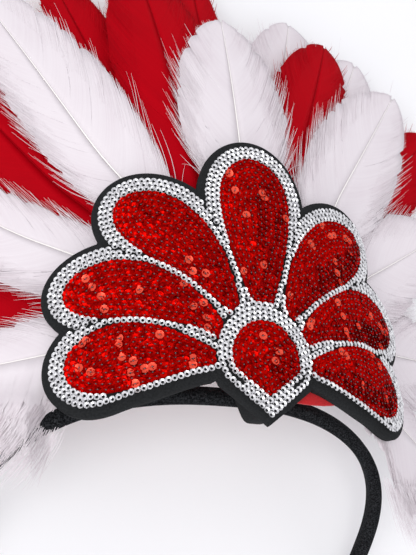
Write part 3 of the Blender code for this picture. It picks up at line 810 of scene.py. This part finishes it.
STRANDS = 140                  # strands of down on a white side with a fray of 1
STRAND_WIDE = 0.00024
STRAND_FROM = 0.6              # share of a strand at which it leaves the vane
STRAND_STEPS = 9
QUILL_WIDE = 0.0009
QUILL_LIFT = 0.00012
QUILL_STEPS = 28
QUILL_SIDES = 6

# colour, tip (u, v), width, layer, shares of the width that show at the left and right,
# and how frayed it is at the left and right
FEATHERS = {
    "white_feather_1": ("white", (-0.126, 0.026), 0.042, 0, (2.15, 0.85), (2.6, 0.5)),
    "red_feather_1": ("red", (-0.1590, 0.052), 0.040, 3, (1.0, 1.0), (0.2, 0.2)),
    "white_feather_2": ("white", (-0.140, 0.108), 0.052, 1, (0.84, 0.60), (0.8, 0.5)),
    "red_feather_2": ("red", (-0.132, 0.158), 0.048, 2, (1.0, 1.0), (0.15, 0.15)),
    "white_feather_3": ("white", (-0.120, 0.198), 0.054, 0, (0.74, 1.0), (0.9, 0.1)),
    "red_feather_3": ("red", (-0.085, 0.222), 0.050, 3, (0.7, 0.8), (0.1, 0.1)),
    "red_feather_4": ("red", (-0.044, 0.234), 0.052, 1, (1.0, 1.0), (0.1, 0.1)),
    "red_feather_5": ("red", (-0.014, 0.238), 0.046, 2, (1.0, 0.6), (0.1, 0.1)),
    "white_feather_4": ("white", (-0.004, 0.200), 0.054, 0, (1.0, 1.0), (0.7, 0.7)),
    "white_feather_5": ("white", (0.044, 0.226), 0.050, 4, (1.0, 1.45), (0.2, 0.2)),
    "red_feather_6": ("red", (0.058, 0.207), 0.050, 1, (1.0, 1.0), (0.15, 0.15)),
    "white_feather_6": ("white", (0.082, 0.209), 0.048, 3, (1.35, 1.3), (0.2, 0.2)),
    "white_feather_7": ("white", (0.098, 0.186), 0.056, 0, (1.0, 1.0), (0.7, 0.4)),
    "red_feather_7": ("red", (0.126, 0.174), 0.048, 2, (1.0, 1.0), (0.2, 0.2)),
    "white_feather_8": ("white", (0.134, 0.120), 0.052, 1, (1.0, 1.0), (0.6, 0.4)),
    "white_feather_9": ("white", (0.159, 0.063), 0.048, 3, (1.0, 1.25), (0.5, 0.9)),
    "white_feather_10": ("white", (0.120, 0.004), 0.044, 0, (1.0, 2.2), (0.7, 2.6)),
}


def feather_sheet(u, v, depth):
    """The crest's bend up to an oval edge, then straight on, levelling out above it."""
    rise = v - SHEET_CENTER_V
    reach = np.maximum(np.hypot(u, rise), 1e-9)
    across, up = u / reach, rise / reach
    inside = np.minimum(reach, 1.0 / np.hypot(across / SHEET_EDGE[0], up / SHEET_EDGE[1]))
    beyond = reach - inside
    base = bend(inside * across, v, 0.0)
    slope = np.clip(inside * np.abs(across), 0.0, BEND_END) / BEND_RADIUS
    heading = np.degrees(np.abs(np.arctan2(across, up)))
    share = np.clip((heading - SHEET_TURN[0]) / (SHEET_TURN[1] - SHEET_TURN[0]), 0.0, 1.0)
    kept = slope * share * share * (3.0 - 2.0 * share)
    settled = SHEET_LEVEL * (1.0 - np.exp(-beyond / SHEET_LEVEL))
    x = base[..., 0] + beyond * across * np.cos(kept)
    fall = beyond * np.sin(kept) + (np.sin(slope) - np.sin(kept)) * settled
    z = base[..., 2] - np.abs(across) * fall
    z = z - np.maximum(v - SWEEP_START_V, 0.0) ** 2 / (2.0 * SWEEP_RADIUS)
    return np.stack([x, v, z - depth], axis=-1)


def feather_half(share, width):
    """Half width of the vane: a powered sine of the share of the length."""
    power = math.log(0.5) / math.log(WIDEST_AT)
    return 0.5 * width * np.sin(math.pi * np.clip(share, 0.0, 1.0) ** power) ** ROUNDNESS


def tubes(path, side, up, wide, thick, sides):
    """Tubes along paths (n, rows, 3) with an elliptic section, wide by thick."""
    turn = np.linspace(0.0, 2.0 * math.pi, sides, endpoint=False) + math.pi / 2
    ring = (side[..., None, :] * (np.cos(turn)[:, None] * wide[..., None, None])
            + up[..., None, :] * (np.sin(turn)[:, None] * thick[..., None, None]))
    return (path[..., None, :] + ring * 0.5).reshape(-1, 3), grid_faces(len(path), path.shape[1], sides)


def feather_finish(name, base, edge, quill, sheen):
    """Keratin barbs: streaks along the feather from barb to barb, paler or darker at random, with a
    painted shade that deepens towards the vane's edge.
    """
    finish, tree, shader = new_finish(name, Roughness=0.62, IOR=1.55, Sheen_Weight=sheen,
                                      Sheen_Roughness=0.4, Specular_IOR_Level=0.03)
    streaks = product(tree, attribute(tree, "tone"), noise(tree, 60.0, Detail=3.0))
    # The second colour is painted shade, reached through random streaks and towards the vane's edge.
    shade = mixed(tree, streaks, base, edge)
    colored(tree, shader, mixed(tree, attribute(tree, "quill"), shade, quill))
    return finish


# White goose feather: silky, slightly translucent keratin with a cream quill; its lilac pink is painted
# shade between the barbs and towards the vane's edge. Red one: the same, acid dyed, with a painted
# darker shade between the barbs.
feather_finishes = {
    "white": feather_finish("white_goose_feather", "E2DBDE", "BFADB5", "FBF7F3", 0.1),
    "red": feather_finish("red_dyed_goose_feather", "AE0010", "6C0008", "98000C", 0.0),
}


def feather_points(root, along, across, run, off, sink):
    """World places of feather coordinates: run from the root, off to the side, sink."""
    u = root[0] + along[0] * run + across[0] * off
    v = root[1] + along[1] * run + across[1] * off
    places = laid(feather_sheet(u, v, sink))
    places[..., 2] = np.maximum(places[..., 2], RESTING)
    return places


def barb_curve(foot, end_run, end_off, step):
    """Barbs from the quill out to the vane's edge: quadratic curves that bow forwards."""
    s = step[None, :, None]
    first = np.stack([foot, 0.0 * foot], axis=1)[:, None]
    bow = np.stack([foot + 0.30 * (end_run - foot), 0.60 * end_off], axis=1)[:, None]
    last = np.stack([end_run, end_off], axis=1)[:, None]
    return first * (1 - s) ** 2 + bow * 2 * s * (1 - s) + last * s ** 2


def barb_tubes(root, along, across, sign, flat, sink, wide):
    """Thin closed tubes along barbs that are given as (n, steps, 2) run and offset."""
    run, off = flat[..., 0], sign * flat[..., 1]
    path = feather_points(root, along, across, run, off, sink)
    near = feather_points(root, along, across, run + 0.0005, off, sink)
    way = np.gradient(path, axis=1)
    way /= np.linalg.norm(way, axis=2)[..., None]
    out = np.cross(near - path, way) * -sign
    out /= np.linalg.norm(out, axis=2)[..., None]
    thick = BARB_THICK * (0.4 + 0.6 * wide / wide.max())
    return tubes(path, np.cross(out, way), out, wide, thick, BARB_SIDES)


def make_feather(name, row, place):
    """One feather: a tapered quill, a closed vane on both sides and loose barb ends."""
    color, tip, width, layer, shown, frayed = row
    turn = math.radians(ROOT_SPAN * (2.0 * place - 1.0))
    root = ROOT_CENTER + ROOT_RADIUS * np.array([math.sin(turn), math.cos(turn)])
    root_depth = FOAM_THICK + FELT_THICK + 3.0 * GAP + QUILL_RAISE
    depth = root_depth + layer * LAYER_STEP
    along = np.array(tip) - root
    length = np.linalg.norm(along)
    along /= length
    across = np.array([along[1], -along[0]])

    def sunk(run):
        """Depth of the quill: from the level of all roots to the feather's own layer."""
        share = np.clip((run - ROOT_RUN) / (1.6 * ROOT_RUN), 0.0, 1.0)
        return root_depth + (depth - root_depth) * share

    def feet(rows, lead):
        """Where barbs leave the quill, by lead behind their tips but off the bare root."""
        return np.maximum(length * rows - lead, 2.7 * ROOT_RUN + 0.05 * length * rows)

    def billow(flat, fuller):
        """Forward lift of a fuller side, outside the crest: it grows along and outwards."""
        run = np.clip((flat[..., 0] / length - BILLOW_FROM) / BILLOW_RUN, 0.0, 1.0)
        return BILLOW * fuller * run * np.clip((flat[..., 1] / (0.5 * width) - 0.45) / 0.45, 0.0, 1.2)

    def add_barbs(sign, flat, lift, wide, shade):
        """Separate barbs, lifted off the feather's sheet, each with its tones."""
        sink = sunk(flat[..., 0]) - lift
        parts.append(barb_tubes(root, along, across, sign, flat, sink, wide))
        flags.extend([True] * 3)
        shade = np.broadcast_to(np.clip(shade, 0.0, 1.0), flat.shape[:2])
        tones.append(np.repeat(shade.ravel(), BARB_SIDES))

    count = int(0.9 * length / BARB_GAP)
    parts, tones, flags = [], [], []
    for sign, share, fray in zip((-1.0, 1.0), shown, frayed):
        rows = np.linspace(0.085, 0.999, count)
        half = feather_half(rows, width) * share
        out_there = np.clip((rows - FULLER_FROM) / FULLER_RUN, 0.0, 1.0)
        fuller = max(share - 1.0, 0.0) if sign < 0 else 0.0
        lean = BARB_LEAN / share ** 1.5 if share > 1.4 else BARB_LEAN
        half = half * np.where(share > 1.0, (1.0 + (share - 1.0) * out_there) / share, 1.0)
        cuts = np.cumsum(chance.uniform(*LOCK_SHARES, LOCKS))
        knots = cuts[:RIPPLES]
        lock = np.searchsorted(cuts, rows)
        middle = np.concatenate([[0.0], cuts])
        middle = 0.5 * (middle[lock] + middle[lock + 1])
        ripple = np.interp(rows, knots, chance.normal(0.0, RIPPLE, RIPPLES))
        parted = chance.random(LOCKS) < 0.25 + 0.5 * fray
        depth_of_cut = parted * chance.uniform(*NOTCH_DEEP, LOCKS)
        off_cut = (rows[:, None] - cuts[None]) * length / NOTCH_WIDE
        notch = 1.0 - np.max(depth_of_cut * np.exp(-off_cut ** 2), axis=1)
        wave = np.interp(rows, knots, chance.normal(0.0, EDGE_WAVE, RIPPLES))
        vane_half = half * notch * (1.0 + wave)
        foot = feet(rows, lean * half)

        # closed vane
        step = np.linspace(0.0, 1.0, VANE_STEPS)
        flat = barb_curve(foot, length * rows, vane_half, step * VANE_REACH)
        cupped = CUPPING * half / (0.5 * width)
        fall = (cupped - ripple)[:, None] * step ** 2 - billow(flat, fuller)
        both = [feather_points(root, along, across, flat[..., 0], sign * flat[..., 1],
                               sunk(flat[..., 0]) + fall + extra) for extra in (0.0, VANE_THICK)]
        faces = grid_faces(1, count, 2 * VANE_STEPS)
        parts.append((np.concatenate([both[0], both[1][:, ::-1]], axis=1).reshape(-1, 3),
                      faces if sign > 0 else [part[:, ::-1] for part in faces]))
        flags += [False] * 3
        # Tones: random streaks from barb to barb, times a painted shade that deepens towards the vane's
        # edge.
        streak = chance.random(count) * 0.35 + np.interp(rows, knots, chance.random(RIPPLES)) * 0.4
        deep = np.concatenate([step, step[::-1]])
        tones.append((streak[:, None] * (0.35 + 0.65 * deep)).ravel())

        # barb ends that leave the vane
        pull = chance.uniform(0.05, 0.35, LOCKS + 2)[lock]
        loose = chance.random(count) < 0.06 + 0.20 * fray
        end_run = length * (rows + (middle - rows) * pull) + chance.normal(0.0, 0.0005, count)
        end_run += loose * chance.normal(0.004, 0.003, count)
        end_off = half * notch * (0.98 + chance.normal(0.0, 0.02, count))
        end_off += loose * chance.uniform(0.0, 0.0024, count)
        step = np.linspace(BARB_FREE, 1.0, BARB_STEPS)
        flat = barb_curve(foot, end_run, end_off, step)
        free = (step - BARB_FREE) / (1.0 - BARB_FREE)
        flat[..., 0] += (loose * chance.normal(0.0, 0.0015, count))[:, None] * free ** 2
        lift = (ripple - cupped)[:, None] * step ** 2 + billow(flat, fuller) + BARB_LIFT
        lift = lift + (loose * chance.normal(0.0006, 0.0006, count))[:, None] * free
        wide = BARB_WIDE * chance.uniform(0.7, 1.1, count)[:, None] * (1.0 - 0.8 * free ** 2)
        # Painted shade that deepens towards the barb's tip, over the random streaks.
        shade = streak[:, None] * (0.35 + 0.65 * step) + chance.normal(0.0, 0.06, count)[:, None]
        add_barbs(sign, flat, lift, wide, shade)

        # long soft strands of down along the lower part
        strands = int(STRANDS * fray * (1.0 if color == "white" else 0.5))
        if strands:
            low, high = (FULLER_FROM + 0.10, 0.97) if share > 1.3 else (0.10, 0.78)
            rows = chance.uniform(low, high, strands)
            half = feather_half(rows, width) * share
            foot = feet(rows, lean * half)
            reach = 1.0 + chance.uniform(0.04, 0.42, strands) * (1.15 - rows)
            end_run = length * rows + chance.normal(0.006, 0.0045, strands)
            step = np.linspace(STRAND_FROM, 1.0, STRAND_STEPS)
            flat = barb_curve(foot, end_run, half * reach, step)
            free = (step - STRAND_FROM) / (1.0 - STRAND_FROM)
            flat[..., 0] += chance.normal(0.0, 0.0028, strands)[:, None] * free ** 2
            lift = chance.normal(0.0009, 0.0009, strands)[:, None] * free - 0.0006 * free ** 2
            lift = lift + billow(flat, fuller)
            wide = STRAND_WIDE * chance.uniform(0.7, 1.2, strands)[:, None] * (1.0 - 0.7 * free ** 2)
            add_barbs(sign, flat, lift, wide, chance.uniform(0.0, 0.3, strands)[:, None])

    # quill
    run = np.linspace(0.0, 0.985 * length, QUILL_STEPS)
    sink = sunk(run) - QUILL_LIFT
    spine = feather_points(root, along, across, run, 0.0 * run, sink)[None]
    beside = feather_points(root, along, across, run, 0.0 * run + 0.0005, sink)[None]
    side = (beside - spine) / np.linalg.norm(beside - spine, axis=2)[..., None]
    way = np.gradient(spine, axis=1)
    way /= np.linalg.norm(way, axis=2)[..., None]
    out = np.cross(way, side)
    wide = (QUILL_WIDE * (1.0 - 0.85 * np.linspace(0.0, 1.0, QUILL_STEPS)) + 0.0001)[None]
    parts.append(tubes(spine, side, out, wide, 0.45 * wide, QUILL_SIDES))
    tones.append(np.zeros(QUILL_STEPS * QUILL_SIDES))
    flags += [False] * 3
    points, faces = joined(parts)
    stem = np.zeros(len(points))
    stem[-QUILL_STEPS * QUILL_SIDES:] = 1.0
    piece = add_piece(name.replace("feather", "plume"), points, faces, feather_finishes[color],
                      flat=flags, tone=np.concatenate(tones), quill=stem)
    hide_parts(name)


for index, (name, row) in enumerate(FEATHERS.items()):
    make_feather(name, row, index / (len(FEATHERS) - 1))

# Studio: a pale matt board under the headdress, a large soft light from above at the
# left and even white light all round, as in a product photo.
board_finish, tree, shader = new_finish("pale_matt_board", Roughness=0.9)
colored(tree, shader, mixed(tree, noise(tree, 8.0), "EFEFF0", "F3F3F3"))
board = bpy.data.objects.new("board", bpy.data.meshes.new("board"))
board.data.from_pydata([(-3, -3, 0), (3, -3, 0), (3, 3, 0), (-3, 3, 0)], [], [(0, 1, 2, 3)])
board.data.materials.append(board_finish)
bpy.context.scene.collection.objects.link(board)

world = bpy.context.scene.world or bpy.data.worlds.new("studio")
bpy.context.scene.world = world
world.use_nodes = True
backdrop = world.node_tree.nodes["Background"]
backdrop.inputs["Color"].default_value = linear("F4F4FA")
backdrop.inputs["Strength"].default_value = 0.87
LIT_POINT = np.array([0.0, 0.0, 0.05])


def pose(right, back, place):
    """Pose at place from its X and Z axes, which stand square to each other."""
    columns = np.column_stack([right, np.cross(back, right), back, place])
    return Matrix([*columns.tolist(), [0.0, 0.0, 0.0, 1.0]])


def soft_light(name, place, size, power):
    """A square area light whose -Z axis points at the crest and whose X axis is level."""
    light = bpy.data.lights.new(name, "AREA")
    light.size = size
    light.energy = power
    lamp = bpy.data.objects.new(name, light)
    bpy.context.scene.collection.objects.link(lamp)
    back = np.array(place) - LIT_POINT
    back = back / np.linalg.norm(back)
    right = np.cross(np.array([0.0, 0.0, 1.0]), back)
    right /= np.linalg.norm(right)
    lamp.matrix_world = pose(right, back, place)


soft_light("window_light", (-0.95, -0.35, 1.7), size=1.1, power=17.0)
soft_light("fill_light", (-0.3, -1.3, 1.2), size=0.9, power=3.5)

# Camera: a short telephoto at the photo's angle, from above on the left.
CAMERA_PLACE = np.array([-0.1484, -0.0936, 0.2894])
CAMERA_RIGHT = np.array([0.9242, -0.0445, 0.3792])
CAMERA_BACK = np.array([-0.3607, -0.4274, 0.8290])
right = tilted(CAMERA_RIGHT)
back = tilted(CAMERA_BACK)
back /= np.linalg.norm(back)
right -= back * (right @ back)
right /= np.linalg.norm(right)
lens = bpy.data.cameras.new("photo_camera")
lens.sensor_fit = "VERTICAL"
lens.sensor_height = 36.0
lens.lens = 58.38
lens.clip_start = 0.01
camera = bpy.data.objects.new("photo_camera", lens)
bpy.context.scene.collection.objects.link(camera)
camera.matrix_world = pose(right, back, laid(CAMERA_PLACE))
bpy.context.scene.camera = camera
bpy.context.scene.view_settings.view_transform = "Standard"
